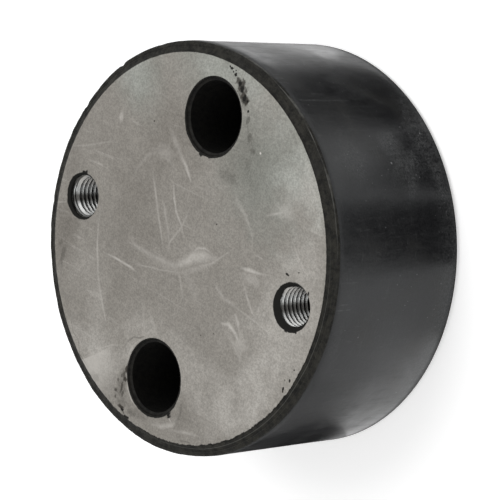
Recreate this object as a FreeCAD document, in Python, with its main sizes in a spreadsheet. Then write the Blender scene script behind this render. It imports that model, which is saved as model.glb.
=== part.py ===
import FreeCAD, Part
import os
import Sketcher

# Round rubber damper block: a rubber disc moulded round two steel plates.
# Millimetres. The block lies on its back plate, +Z is its axis, towards the front plate.
# The origin is the centre of the back plate's outer face.
# The threaded holes lie along X, the access holes along Y.

SIZES = [
    ("outer_dia", 150, "rubber side"),
    ("total_height", 65, "outer face of one plate to outer face of the other"),
    ("rubber_cover", 4.25, "round the edge of both plates"),
    ("front_plate_thick", 16, "takes the threads"),
    ("back_plate_thick", 10, "takes the screw heads"),
    ("plate_edge_chamfer", 1.5, "on the rubber side, so the edge doesn't tear the rubber"),
    ("rim_drop", 1.1, "how far the rubber rim slopes back from the plate's face"),
    ("rim_corner_width", 0.6, "bevel between the rim and the side, along a radius"),
    ("rim_corner_height", 0.8, "the same bevel, along the side"),
    ("thread_dia", 16, "nominal size of the threaded holes"),
    ("thread_pitch", 2, "coarse pitch"),
    ("thread_countersink", 0.8, "mouth's width beyond the thread, along a radius"),
    ("thread_edge_distance", 13.5, "from the plate's edge to the centre of a threaded hole"),
    ("tip_recess_depth", 6, "hollow in the rubber behind each threaded hole"),
    ("screw_dia", 16, "socket head screws that hold the back plate"),
    ("screw_play", 1.5, "their holes are this much wider"),
    ("screw_hole_edge", 0.5, "bevel round those holes on the back face"),
    ("screw_head_dia", 24, "goes down the access bores"),
    ("access_play", 2, "those bores are this much wider"),
    ("access_lining", 1.5, "rubber on the wall of the front plate's access holes"),
    ("access_lip", 0.2, "flat edge of the lining, level with the front face"),
    ("access_edge_distance", 20.75, "from the plate's edge to the centre of an access hole"),
]

PLATE_RADIUS = "(sizes.outer_dia / 2 - sizes.rubber_cover)"
THREAD_CENTRE = f"({PLATE_RADIUS} - sizes.thread_edge_distance)"
ACCESS_CENTRE = f"({PLATE_RADIUS} - sizes.access_edge_distance)"
TAP_DRILL = "sizes.thread_dia - sizes.thread_pitch"
THREAD_MOUTH = "sizes.thread_dia + 2 * sizes.thread_countersink"
SCREW_HOLE = "sizes.screw_dia + sizes.screw_play"
ACCESS_BORE = "sizes.screw_head_dia + sizes.access_play"
LINED_HOLE = f"{ACCESS_BORE} + 2 * sizes.access_lining"
ACCESS_MOUTH = f"{LINED_HOLE} - 2 * sizes.access_lip"
FRONT_PLATE_BASE = "(sizes.total_height - sizes.front_plate_thick)"

# In the sketches' constraints, -1 and -2 are the level and the upright axis, a line's ends are its
# points 1 and 2, and a circle's centre is its point 3.
SKETCH_ORIGIN = (-1, 1)


def fill_sheet(doc):
    sheet = doc.addObject("Spreadsheet::Sheet", "sizes")
    for row, (alias, value, note) in enumerate(SIZES, start=1):
        sheet.set(f"A{row}", alias)
        sheet.set(f"B{row}", str(value))
        sheet.setAlias(f"B{row}", alias)
        sheet.set(f"C{row}", note)
    doc.recompute()


def origin_plane(body, role):
    return next(part for part in body.Origin.OriginFeatures if part.Role == role)


def new_body(doc, label):
    body = doc.addObject("PartDesign::Body", label)
    body.Label = label
    return body


def new_sketch(body, name, role):
    sketch = body.newObject("Sketcher::SketchObject", name)
    sketch.AttachmentSupport = (origin_plane(body, role), "")
    sketch.MapMode = "FlatFace"
    return sketch


def bind_datum(sketch, constraint, name, size):
    index = sketch.addConstraint(constraint)
    sketch.renameConstraint(index, name)
    sketch.setExpression(f"Constraints.{name}", size)


# A closed outline beside the Z axis. Each corner is a radius and a height, "0" where it lies on an axis.
def half_section(body, name, corners):
    sketch = new_sketch(body, name, "XZ_Plane")
    count = len(corners)
    rough = [FreeCAD.Vector(20 + i, 5 + i * i, 0) for i in range(count)]
    for start, end in zip(rough, rough[1:] + rough[:1]):
        sketch.addGeometry(Part.LineSegment(start, end))
    for i in range(count):
        sketch.addConstraint(Sketcher.Constraint("Coincident", (i - 1) % count, 2, i, 1))
    for i, (radius, height) in enumerate(corners):
        if radius == "0":
            sketch.addConstraint(Sketcher.Constraint("PointOnObject", i, 1, -2))
        else:
            datum = Sketcher.Constraint("DistanceX", *SKETCH_ORIGIN, i, 1, rough[i].x)
            bind_datum(sketch, datum, f"radius_{i}", radius)
        if height == "0":
            sketch.addConstraint(Sketcher.Constraint("PointOnObject", i, 1, -1))
        else:
            datum = Sketcher.Constraint("DistanceY", *SKETCH_ORIGIN, i, 1, rough[i].y)
            bind_datum(sketch, datum, f"height_{i}", height)
    return sketch


def turned(body, name, corners):
    section = half_section(body, f"{name}_section", corners)
    solid = body.newObject("PartDesign::Revolution", name)
    solid.Profile = section
    solid.ReferenceAxis = (section, ["V_Axis"])
    solid.Angle = 360


# Two equal circles, the same distance each side of the axis, drawn at one height.
def hole_pair(body, name, along, centre, diameter, height):
    sketch = new_sketch(body, f"{name}_circles", "XY_Plane")
    sketch.setExpression("AttachmentOffset.Base.z", height)
    rough = FreeCAD.Vector(10, 0, 0) if along == "X" else FreeCAD.Vector(0, 10, 0)
    for point in (rough, -rough):
        sketch.addGeometry(Part.Circle(point, FreeCAD.Vector(0, 0, 1), 2))
    sketch.addConstraint(Sketcher.Constraint("PointOnObject", 0, 3, -1 if along == "X" else -2))
    sketch.addConstraint(Sketcher.Constraint("Symmetric", 0, 3, 1, 3, *SKETCH_ORIGIN))
    sketch.addConstraint(Sketcher.Constraint("Equal", 0, 1))
    offset = Sketcher.Constraint(f"Distance{along}", *SKETCH_ORIGIN, 0, 3, rough.Length)
    bind_datum(sketch, offset, "offset", centre)
    bind_datum(sketch, Sketcher.Constraint("Diameter", 0, 4), "diameter", diameter)
    return sketch


def pocket_through(body, name, circles):
    pocket = body.newObject("PartDesign::Pocket", name)
    pocket.Profile = circles
    pocket.Type = "ThroughAll"


def countersunk(doc, body, name, circles, diameter, mouth):
    doc.recompute()
    hole = body.newObject("PartDesign::Hole", name)
    hole.Profile = circles
    hole.ThreadType = "None"
    hole.DepthType = "ThroughAll"
    hole.HoleCutType = "Countersink"
    hole.HoleCutCustomValues = True
    hole.HoleCutCountersinkAngle = 90
    hole.setExpression("Diameter", diameter)
    hole.setExpression("HoleCutDiameter", mouth)


# Both plates are drawn with the rubber side at their own z = 0 and the outer face up.
def plate(doc, label, thick):
    body = new_body(doc, label)
    edge = "sizes.plate_edge_chamfer"
    turned(body, "disc", [
        ("0", "0"),
        (f"{PLATE_RADIUS} - {edge}", "0"),
        (PLATE_RADIUS, edge),
        (PLATE_RADIUS, thick),
        ("0", thick),
    ])
    return body


def front_plate(doc):
    thick = "sizes.front_plate_thick"
    body = plate(doc, "front_plate", thick)
    circles = hole_pair(body, "access", "Y", ACCESS_CENTRE, LINED_HOLE, thick)
    pocket_through(body, "access_holes", circles)
    circles = hole_pair(body, "thread", "X", THREAD_CENTRE, TAP_DRILL, thick)
    countersunk(doc, body, "threaded_holes", circles, TAP_DRILL, THREAD_MOUTH)
    body.setExpression("Placement.Base.z", FRONT_PLATE_BASE)
    return body


def back_plate(doc):
    thick = "sizes.back_plate_thick"
    body = plate(doc, "back_plate", thick)
    circles = hole_pair(body, "screw", "Y", ACCESS_CENTRE, SCREW_HOLE, thick)
    mouth = f"{SCREW_HOLE} + 2 * sizes.screw_hole_edge"
    countersunk(doc, body, "screw_holes", circles, SCREW_HOLE, mouth)
    body.Placement.Rotation = FreeCAD.Rotation(FreeCAD.Vector(1, 0, 0), 180)
    body.setExpression("Placement.Base.z", thick)
    return body


# One moulding: it fills the space between the plates, wraps round their edges,
# stands as a sloping rim round each face and lines the front plate's access holes.
def rubber_body(doc):
    body = new_body(doc, "rubber_body")
    edge = "sizes.plate_edge_chamfer"
    side = "sizes.outer_dia / 2"
    low = "sizes.back_plate_thick"
    high = FRONT_PLATE_BASE
    rim_edge = f"{side} - sizes.rim_corner_width"
    side_start = "sizes.rim_drop + sizes.rim_corner_height"
    turned(body, "moulding", [
        ("0", low),
        (f"{PLATE_RADIUS} - {edge}", low),
        (PLATE_RADIUS, f"{low} - {edge}"),
        (PLATE_RADIUS, "0"),
        (rim_edge, "sizes.rim_drop"),
        (side, side_start),
        (side, f"sizes.total_height - ({side_start})"),
        (rim_edge, "sizes.total_height - sizes.rim_drop"),
        (PLATE_RADIUS, "sizes.total_height"),
        (PLATE_RADIUS, f"{high} + {edge}"),
        (f"{PLATE_RADIUS} - {edge}", high),
        ("0", high),
    ])

    lining = body.newObject("PartDesign::Pad", "access_linings")
    lining.Profile = hole_pair(body, "lining", "Y", ACCESS_CENTRE, LINED_HOLE, high)
    lining.setExpression("Length", "sizes.front_plate_thick")

    circles = hole_pair(body, "bore", "Y", ACCESS_CENTRE, ACCESS_BORE, "sizes.total_height")
    countersunk(doc, body, "access_bores", circles, ACCESS_BORE, ACCESS_MOUTH)

    recess = body.newObject("PartDesign::Pocket", "tip_recesses")
    recess.Profile = hole_pair(body, "recess", "X", THREAD_CENTRE, "sizes.thread_dia", high)
    recess.setExpression("Length", "sizes.tip_recess_depth")
    return body


def check(doc, bodies):
    for part in doc.Objects:
        if "Invalid" in part.State or "Error" in part.State:
            raise RuntimeError(f"{part.Name} did not build: {part.State}")
    for body in bodies:
        if body.Shape.isNull() or not body.Shape.isValid() or len(body.Shape.Solids) != 1:
            raise RuntimeError(f"{body.Label} is not one sound solid")


def main():
    doc = FreeCAD.newDocument("rubber_damper_block")
    fill_sheet(doc)
    bodies = [rubber_body(doc), front_plate(doc), back_plate(doc)]
    doc.recompute()
    check(doc, bodies)
    os.makedirs("parts", exist_ok=True)
    for body in bodies:
        body.Shape.exportStep(f"parts/{body.Label}.step")
        print(body.Label, "volume", round(body.Shape.Volume), "mm3, box", body.Shape.BoundBox)


main()
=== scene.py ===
import math
import bmesh
import bpy
from mathutils import Matrix, Vector, noise


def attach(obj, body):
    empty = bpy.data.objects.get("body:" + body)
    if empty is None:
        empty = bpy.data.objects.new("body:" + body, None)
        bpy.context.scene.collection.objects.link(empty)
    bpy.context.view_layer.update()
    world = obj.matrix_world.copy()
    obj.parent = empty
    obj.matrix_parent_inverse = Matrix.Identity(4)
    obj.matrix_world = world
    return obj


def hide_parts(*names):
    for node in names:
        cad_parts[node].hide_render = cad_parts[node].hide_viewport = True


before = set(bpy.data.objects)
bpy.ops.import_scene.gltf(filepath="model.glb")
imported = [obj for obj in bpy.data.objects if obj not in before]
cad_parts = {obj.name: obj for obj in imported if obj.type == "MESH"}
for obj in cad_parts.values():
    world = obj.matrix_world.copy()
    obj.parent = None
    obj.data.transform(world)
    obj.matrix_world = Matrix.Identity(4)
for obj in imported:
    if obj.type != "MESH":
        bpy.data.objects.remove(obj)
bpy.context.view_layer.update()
mm = 0.001
overshoot = 1.0  # mm that a cutter reaches past what it cuts


# small helpers: selecting, turning and cutting
def startClean():
    if bpy.context.object and bpy.context.object.mode != "OBJECT":
        bpy.ops.object.mode_set(mode="OBJECT")
    bpy.ops.object.select_all(action="DESELECT")


def takePiece(piece):
    startClean()
    bpy.context.view_layer.objects.active = piece
    piece.select_set(True)


def selectAll(action="SELECT"):
    bpy.ops.mesh.select_all(action=action)


def applyPlace(piece):
    takePiece(piece)
    bpy.ops.object.transform_apply(location=True, rotation=True, scale=True)


def turnedPiece(name, profile, segments, centre=(0, 0), ring=False):  # profile: radius and height in mm
    startClean()
    x, y = centre
    r, z = profile[0]
    bpy.ops.mesh.primitive_circle_add(vertices=segments, radius=r * mm, fill_type="NOTHING",
                                      location=(x * mm, y * mm, z * mm))
    piece = bpy.context.object
    piece.name = name
    bpy.ops.object.mode_set(mode="EDIT")
    selectAll()
    for nextR, nextZ in profile[1:]:
        bpy.ops.mesh.extrude_region_move(TRANSFORM_OT_translate={"value": (0, 0, (nextZ - z) * mm)})
        grow = nextR / r
        bpy.ops.transform.resize(value=(grow, grow, 1), center_override=(x * mm, y * mm, nextZ * mm))
        r, z = nextR, nextZ
    selectAll("DESELECT")
    bpy.ops.mesh.select_non_manifold()
    if ring:
        bpy.ops.mesh.bridge_edge_loops()  # joins the last ring to the first
    else:
        bpy.ops.mesh.edge_face_add()  # a flat cap at each end
    selectAll()
    bpy.ops.mesh.normals_make_consistent(inside=False)
    bpy.ops.object.mode_set(mode="OBJECT")
    applyPlace(piece)
    return piece


def closeEnds(piece):  # caps each open loop by itself
    takePiece(piece)
    bpy.ops.object.mode_set(mode="EDIT")
    selectAll("DESELECT")
    bpy.ops.mesh.select_non_manifold()
    bpy.ops.mesh.fill_holes(sides=0)
    selectAll()
    bpy.ops.mesh.normals_make_consistent(inside=False)
    bpy.ops.object.mode_set(mode="OBJECT")


def cutWith(piece, tool):
    takePiece(piece)
    cut = piece.modifiers.new("cut", "BOOLEAN")
    cut.operation = "DIFFERENCE"
    cut.solver = "EXACT"
    cut.object = tool
    bpy.ops.object.modifier_apply(modifier=cut.name)
    bpy.data.objects.remove(tool)


def smoothPiece(piece, degrees):
    takePiece(piece)
    bpy.ops.object.shade_smooth_by_angle(angle=math.radians(degrees))


def wave(angle, rate, seed):  # smooth noise that closes on itself round the block
    return noise.noise(Vector((math.cos(angle) * rate, math.sin(angle) * rate, seed)))


def pushOut(vert, x, y, far):  # x and y from the axis that it moves away from, in mm
    r = math.hypot(x, y)
    vert.co.x += x / r * far * mm
    vert.co.y += y / r * far * mm


def held(value):
    return min(1.0, max(0.0, value))


# camera
cameraSet = {
    "place": (0.58366, 0.24040, 0.66086),
    "ahead": (-0.65386, -0.27123, -0.70630),
    "up": (-0.34833, 0.93662, -0.03730),
    "lens": 173.9,
    "sensor": 36,
}


def addCamera():
    ahead = Vector(cameraSet["ahead"]).normalized()
    side = ahead.cross(Vector(cameraSet["up"])).normalized()
    up = side.cross(ahead)
    bpy.ops.object.camera_add()
    camera = bpy.context.object
    turn = Matrix((side, up, -ahead)).transposed().to_4x4()
    camera.matrix_world = Matrix.Translation(cameraSet["place"]) @ turn
    camera.data.lens = cameraSet["lens"]
    camera.data.sensor_width = cameraSet["sensor"]
    bpy.context.scene.camera = camera


startClean()
addCamera()
print("camera placed")

# steel front plate with its two tapped holes and two access holes
frontPlateSize = {
    "radius": 70.75, "bottom": 49.0, "top": 65.0, "chamfer": 1.5, "segments": 256,
    "smoothTo": 28, "accessHoles": ((0, 50), (0, -50)), "accessRadius": 14.5,
    "tappedHoles": ((57.25, 0), (-57.25, 0)), "coreRadius": 6.92, "threadRadius": 8.0, "mouthRadius": 8.8,
    "pitch": 2.0, "threadSides": 72, "threadRows": 144,
    "crest": 0.1, "flank": 0.68,  # shares of half a pitch
    # each thread's turn at the face, how deep it starts, and how soon it is full
    "startTurn": (0.9, 0.35), "runIn": (0.0, 2.3), "runOut": 1.3,
}


def addRod(centre, radius, bottom, top, sides):
    startClean()
    bpy.ops.mesh.primitive_cylinder_add(vertices=sides, radius=radius * mm, depth=(top - bottom) * mm,
                                        location=(centre[0] * mm, centre[1] * mm, (top + bottom) / 2 * mm))
    return bpy.context.object


def tapTool(centre, startTurn, runIn):  # a cutter with the thread on it
    size = frontPlateSize
    low, high = size["bottom"] - overshoot, size["top"] + overshoot
    tool = addRod(centre, size["threadRadius"], low, high, size["threadSides"])
    bpy.ops.object.mode_set(mode="EDIT")
    selectAll("DESELECT")
    rod = bmesh.from_edit_mesh(tool.data)
    for edge in rod.edges:
        a, b = edge.verts
        edge.select = abs(a.co.z - b.co.z) > mm  # the upright ones
    bmesh.update_edit_mesh(tool.data)
    bpy.ops.mesh.subdivide_edgering(number_cuts=size["threadRows"], interpolation="LINEAR", smoothness=0)
    rod = bmesh.from_edit_mesh(tool.data)
    depth = size["threadRadius"] - size["coreRadius"]
    for vert in rod.verts:
        height = vert.co.z / mm + (high - low) / 2 + size["bottom"] - overshoot
        below = size["top"] - height
        turns = below / size["pitch"] - math.atan2(vert.co.y, vert.co.x) / (2 * math.pi) + startTurn
        ridge = abs((turns % 1) * 2 - 1)  # 0 at the crest of the cutter, 1 at its root
        flank = held((ridge - size["crest"]) / size["flank"])
        radius = size["threadRadius"] - depth * flank * held((below - runIn) / size["runOut"])
        radius = max(radius, size["mouthRadius"] - max(0.0, below))  # the countersink
        flat = Vector((vert.co.x, vert.co.y, 0)).normalized() * radius * mm
        vert.co.x, vert.co.y = flat.x, flat.y
    bmesh.update_edit_mesh(tool.data)
    selectAll()
    bpy.ops.mesh.quads_convert_to_tris()
    bpy.ops.object.mode_set(mode="OBJECT")
    applyPlace(tool)
    return tool


def roundTool(centre, radius, bottom, top, sides=96):
    tool = addRod(centre, radius, bottom, top, sides)
    applyPlace(tool)
    return tool


def makeFrontPlate():
    size = frontPlateSize
    r, low, high, bevel = size["radius"], size["bottom"], size["top"], size["chamfer"]
    plate = turnedPiece("frontPlate", [(r - bevel, low), (r, low + bevel), (r, high)], size["segments"])
    closeEnds(plate)
    for centre in size["accessHoles"]:
        cutWith(plate, roundTool(centre, size["accessRadius"], low - overshoot, high + overshoot))
    for centre, start, runIn in zip(size["tappedHoles"], size["startTurn"], size["runIn"]):
        cutWith(plate, tapTool(centre, start, runIn))
    smoothPiece(plate, size["smoothTo"])
    return plate


frontPlate = makeFrontPlate()
print("front plate made")

# rubber moulding: the block, its trimmed rim, the hole linings and the seats of the plates
rubberSize = {
    "radius": 75.0, "height": 65.0, "seatRadius": 70.75, "frontSeat": 49.0, "backSeat": 10.0,
    "segments": 480, "smoothTo": 19, "tipRadius": 8.0, "tipDepth": 6.0, "tipSides": 64,
    # outline of the block, radius and height, between the seats of the plates
    "frontRim": ((70.75, 64.95), (71.2, 64.75), (71.8, 64.55), (72.4, 64.4), (72.9, 64.25), (73.3, 64.02),
     (73.5, 64.12), (73.9, 64.1), (74.4, 63.98), (74.85, 63.82)),
    "wallHeights": (63.5, 62.6, 62.0, 60.5, 57, 52, 46, 40, 34, 28, 22, 16, 10, 5, 1.9),
    "backRim": ((74.8, 1.5), (74.4, 1.1), (72.4, 0.5)),
    # linings, with steps in from the mouth's radius and out from the bore's, and their depths
    "boreRadius": 13.0, "liningRadius": 14.5, "mouthRadius": 14.25, "liningPlay": 0.02, "liningSlack": 0.1,
    "liningSides": 128, "liningSmoothTo": 40, "mouthSteps": ((0, 0.06), (0.15, 0.4), (0.3, 0.85), (0.4, 0.95)),
    "boreSteps": ((0.4, 1.15), (0, 1.3), (0, 4), (0, 9)),
    # waves: depth, rate round the axis, and rate along it or their seed
    "wallWaves": ((0.12, 2.1, 0.03), (0.05, 7.0, 0.11)), "crestWaves": ((0.14, 34, 1.3), (0.20, 9, 0.6)),
    "rimWave": (0.07, 26, 3.1), "mouthWave": (0.18, 5, 0.2), "boreWave": (0.05, 3, 0.3), "waveSeed": 3.7,
    # where the trimming starts, how soon it is full, and its share at the plate
    "rimInside": 70.9, "wallInside": 74.9, "rimFoot": 60.0, "rimFade": 3.0, "rimSpan": 3.65, "rimShare": 0.25,
    "crestFoot": 63.4, "crestInside": 70.7, "crestRise": 1.4, "crestDrop": 0.14,
    # finishes: how far the rims are from the middle height and the axis, and where the bores begin
    "rimAway": 30.4, "rimFrom": 69, "boreWithin": 72, "boreTop": 63.76,
    # knife strokes: angle and how far in; nicks: angle, depth and width
    "rimStrokes": ((100, -.3), (90, -.55), (84, -.15), (77, -.4), (69, 0), (60, -.3), (50, 0), (38, -.2), (26, 0),
     (12, -.2), (0, 0), (-14, -.2), (-26, 0), (-40, -.2), (-55, 0), (-70, -.3), (-85, 0), (-100, -.2), (-116, 0),
     (-128, -.2), (-142, 0), (-155, -.25), (-168, 0), (-182, -.2), (-196, 0), (-210, -.25), (-226, 0), (-240, -.25),
     (-250, -.2), (-260, -.3)),
    "rimNicks": ((135, -0.6, 1.5), (154, -0.5, 1.3), (186, -0.35, 1.2), (118, -0.2, 1.2)),
}


def rimStroke(degrees):  # straight knife strokes: how far the trimmed edge stands in at that angle
    marks = rubberSize["rimStrokes"]
    start = marks[-1][0]
    angle = (degrees - start) % 360 + start
    for (a, inA), (b, inB) in zip(marks, marks[1:]):
        if b <= angle <= a:
            return inB + (inA - inB) * (angle - b) / (a - b)
    return 0.0


def trimRim(block):
    size = rubberSize
    takePiece(block)
    for vert in block.data.vertices:
        x, y, z = vert.co / mm
        r, turn = math.hypot(x, y), math.atan2(y, x)
        if r < size["rimInside"] or z < size["rimFoot"]:
            if r > size["wallInside"]:  # the wall is not perfectly true
                pull = sum(deep * (1 + wave(turn, rate, z * along)) for deep, rate, along in size["wallWaves"])
                pushOut(vert, x, y, -pull)
            continue
        share = held((r - size["seatRadius"]) / size["rimSpan"])
        inward = rimStroke(math.degrees(turn)) * (size["rimShare"] + (1 - size["rimShare"]) * share)
        deep, rate, seed = size["rimWave"]
        inward -= deep * (1 + wave(turn, rate, seed)) * share
        for at, deep, wide in size["rimNicks"]:
            away = abs((math.degrees(turn) - at + 180) % 360 - 180)
            inward += deep * max(0.0, 1 - away / wide) * share
        fade = held((z - size["rimFoot"]) / size["rimFade"])
        inward *= fade
        pushOut(vert, x, y, inward)
        if z > size["crestFoot"]:
            lift = sum(deep * wave(turn, rate, r * out) for deep, rate, out in size["crestWaves"]) - size["crestDrop"]
            rise = min(1, (r - size["crestInside"]) * size["crestRise"])
            vert.co.z = min(size["height"] * mm, vert.co.z + lift * fade * rise * mm)


def makeRubberBlock():
    size = rubberSize
    seat, bevel, front, back = size["seatRadius"], frontPlateSize["chamfer"], size["frontSeat"], size["backSeat"]
    profile = [(seat - bevel, front), (seat, front + bevel), *size["frontRim"],
               *((size["radius"], z) for z in size["wallHeights"]), *size["backRim"],
               (seat, 0.0), (seat, back - bevel), (seat - bevel, back)]
    block = turnedPiece("rubberBlock", profile, size["segments"])
    closeEnds(block)
    for centre in frontPlateSize["accessHoles"]:
        cutWith(block, roundTool(centre, size["boreRadius"], back - overshoot, front + overshoot))
    for centre in frontPlateSize["tappedHoles"]:
        tip = roundTool(centre, size["tipRadius"], front - size["tipDepth"], front + overshoot, size["tipSides"])
        cutWith(block, tip)
    trimRim(block)
    smoothPiece(block, size["smoothTo"])
    return block


def makeLining(number, centre):
    size = rubberSize
    low, high = size["frontSeat"], size["height"]
    bore, wall, play = size["boreRadius"], size["liningRadius"], size["liningPlay"]
    profile = [(wall - play, low), (wall - play, high - play),
               *((size["mouthRadius"] - inward, high - down) for inward, down in size["mouthSteps"]),
               *((bore + outward, high - down) for outward, down in size["boreSteps"]), (bore, low)]
    lining = turnedPiece("rubberLining" + str(number), profile, size["liningSides"], centre, ring=True)
    takePiece(lining)
    for vert in lining.data.vertices:
        x, y, z = vert.co.x / mm - centre[0], vert.co.y / mm - centre[1], vert.co.z / mm
        r, turn = math.hypot(x, y), math.atan2(y, x)
        if r > wall - size["liningSlack"]:  # the side that is bonded to the plate stays true
            continue
        atMouth = r > bore + size["liningSlack"]
        deep, rate, along = size["mouthWave" if atMouth else "boreWave"]
        seed = number * size["waveSeed"] if atMouth else 0.0
        pushOut(vert, x, y, -deep * (1 + wave(turn, rate, seed + z * along)))
    smoothPiece(lining, size["liningSmoothTo"])
    return lining


rubberBlock = makeRubberBlock()
linings = [makeLining(i, centre) for i, centre in enumerate(frontPlateSize["accessHoles"], 1)]
print("rubber moulding made")

# shader helpers, and groups used by more than one finish
drawing = {"tree": None}  # the node tree that is being filled


def newGroup(name, inputs, outputs):  # inputs with their first value: a number, a vector, or None if always linked
    group = bpy.data.node_groups.new(name, "ShaderNodeTree")
    for label, value in inputs.items():
        kind = "Float" if isinstance(value, (int, float)) else "Vector"
        socket = group.interface.new_socket(name=label, in_out="INPUT", socket_type="NodeSocket" + kind)
        if value is not None:
            socket.default_value = value
    for label in outputs:
        group.interface.new_socket(name=label, in_out="OUTPUT", socket_type="NodeSocketFloat")
    drawing["tree"] = group
    return group, group.nodes.new("NodeGroupInput").outputs, group.nodes.new("NodeGroupOutput").inputs


def put(value, socket):
    if isinstance(value, bpy.types.NodeSocket):
        drawing["tree"].links.new(value, socket)
    elif value is not None:
        socket.default_value = value


def addNode(kind, **inputs):
    node = drawing["tree"].nodes.new("ShaderNode" + kind)
    for label, value in inputs.items():
        put(value, node.inputs[label.replace("_", " ")])
    return node


def calc(operation, a, b):
    node = addNode("Math")
    node.operation = operation
    put(a, node.inputs[0])
    put(b, node.inputs[1])
    return node.outputs[0]


def times(a, b):
    return calc("MULTIPLY", a, b)


def plus(a, b):
    return calc("ADD", a, b)


def minus(a, b):
    return calc("SUBTRACT", a, b)


def most(a, b):
    return calc("MAXIMUM", a, b)


def within(value):  # held between 0 and 1
    return most(calc("MINIMUM", value, 1.0), 0.0)


def between(share, a, b):  # from a to b
    return plus(a, times(share, minus(b, a)))


def vecCalc(operation, a, b=None, scale=None):
    node = addNode("VectorMath")
    node.operation = operation
    put(a, node.inputs[0])
    put(b, node.inputs[1])
    if scale is not None:
        put(scale, node.inputs["Scale"])
    return node.outputs["Value" if operation in ("DOT_PRODUCT", "DISTANCE", "LENGTH") else "Vector"]


def dot(a, b):
    return vecCalc("DOT_PRODUCT", a, b)


def flattened(vector):  # without its height
    return vecCalc("MULTIPLY", vector, (1, 1, 0))


def ramp(value, low, high, outLow=0.0, outHigh=1.0, smooth=True):
    node = addNode("MapRange")
    node.interpolation_type = "SMOOTHSTEP" if smooth else "LINEAR"
    node.clamp = not smooth  # a smooth step is held at its ends already
    for socket, number in zip(node.inputs, (value, low, high, outLow, outHigh)):
        put(number, socket)
    return node.outputs["Result"]


def cloud(vector, scale, detail=3.0, rough=0.5, twist=0.0):
    node = addNode("TexNoise", Vector=vector, Scale=scale, Detail=detail, Roughness=rough, Distortion=twist)
    return node.outputs["Fac"]


def haze(where, noise, spread):  # noise: scale, detail, roughness, twist; spread: from, to, and what they become
    return ramp(cloud(where, *noise), *spread)


def blend(amount, a, b, kind="MIX"):
    node = addNode("Mix")
    node.data_type = "RGBA"
    node.blend_type = kind
    put(amount, node.inputs[0])
    put(a, node.inputs[6])
    put(b, node.inputs[7])
    return node.outputs[2]


groupLook = {
    "strokeFall": 1.3, "strokeGaps": (0.34, 0.66),  # how a stroke thins out sideways, and where it is broken
    "raggedDepth": 4.0, "skinEdge": 0.00025,  # edge of a spot in radii, soft edge of a skin in metres
    "speckLeast": 0.08, "speckSpread": 0.32,  # size of a speck, in cells
    # grain: fine noise, middle noise and patches, and the middle one's share of scale, tone and height
    "fineNoise": (4, 0.7), "middleNoise": (3, 0.6), "patchNoise": (5, 0.6, 0.4),
    "middleScale": 0.3, "middleTone": 0.14, "middleHeight": 0.7,
}


def scratchGroup():  # a soft stroke between two points; width and strength run from its start to its end
    group, given, result = newGroup("scratch", {
        "Place": None, "Start": (0, 0, 0), "End": (0.01, 0, 0), "Start Width": 0.0005, "End Width": 0.0005,
        "Start Strength": 0.0, "End Strength": 0.5, "Break": 0.4, "Patches": 0.5}, ["Mask"])
    run = vecCalc("SUBTRACT", given["End"], given["Start"])
    away = vecCalc("SUBTRACT", given["Place"], given["Start"])
    share = calc("DIVIDE", dot(away, run), dot(run, run))
    along = within(share)
    gap = vecCalc("DISTANCE", away, vecCalc("SCALE", run, scale=along))
    width = between(along, given["Start Width"], given["End Width"])
    core = calc("POWER", ramp(gap, 0.0, width, 1.0, 0.0), groupLook["strokeFall"])
    gaps = minus(1.0, ramp(given["Patches"], *groupLook["strokeGaps"]))
    kept = minus(1.0, times(given["Break"], gaps))
    strong = between(along, given["Start Strength"], given["End Strength"])
    put(times(times(core, kept), strong), result["Mask"])
    return group


def spotGroup():  # a ragged patch round a point, drawn out along the axes by its stretch
    group, given, result = newGroup("spot", {
        "Place": None, "Centre": (0, 0, 0), "Radius": 0.002, "Stretch": (1, 1, 1), "Ragged": 0.5, "Soft": 0.3,
        "Edge Noise": 0.5}, ["Mask"])
    away = vecCalc("SUBTRACT", given["Place"], given["Centre"])
    gap = vecCalc("LENGTH", vecCalc("DIVIDE", away, given["Stretch"]))
    ragged = times(minus(given["Edge Noise"], 0.5), given["Ragged"])
    gap = plus(gap, times(ragged, times(given["Radius"], groupLook["raggedDepth"])))
    inner = times(given["Radius"], minus(1.0, given["Soft"]))
    put(ramp(gap, inner, given["Radius"], 1.0, 0.0), result["Mask"])
    return group


def flashGroup():  # rubber skin left round a hole, with a torn outline, wider towards one side
    group, given, result = newGroup("flash", {
        "Place": None, "Centre": (0, 0, 0), "Radius": 0.009, "Torn": 0.001, "Heavy Side": (0, 0, 0),
        "Edge Noise": 0.5}, ["Mask"])
    away = flattened(vecCalc("SUBTRACT", given["Place"], given["Centre"]))
    gap = vecCalc("LENGTH", away)
    lean = dot(vecCalc("NORMALIZE", away), given["Heavy Side"])
    torn = times(minus(given["Edge Noise"], 0.5), given["Torn"])
    edge = plus(plus(given["Radius"], lean), torn)
    put(ramp(minus(edge, gap), 0.0, groupLook["skinEdge"]), result["Mask"])
    return group


def speckGroup():  # loose grains of dust or dirt
    group, given, result = newGroup("specks", {"Place": None, "Scale": 900, "Amount": 0.1}, ["Mask"])
    cells = addNode("TexVoronoi", Vector=given["Place"], Scale=given["Scale"]).outputs
    chance = addNode("SeparateColor", Color=cells["Color"]).outputs
    picked = calc("LESS_THAN", chance[0], given["Amount"])
    size = plus(times(chance[1], groupLook["speckSpread"]), groupLook["speckLeast"])
    speck = calc("LESS_THAN", cells["Distance"], size)
    put(times(picked, speck), result["Mask"])
    return group


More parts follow.
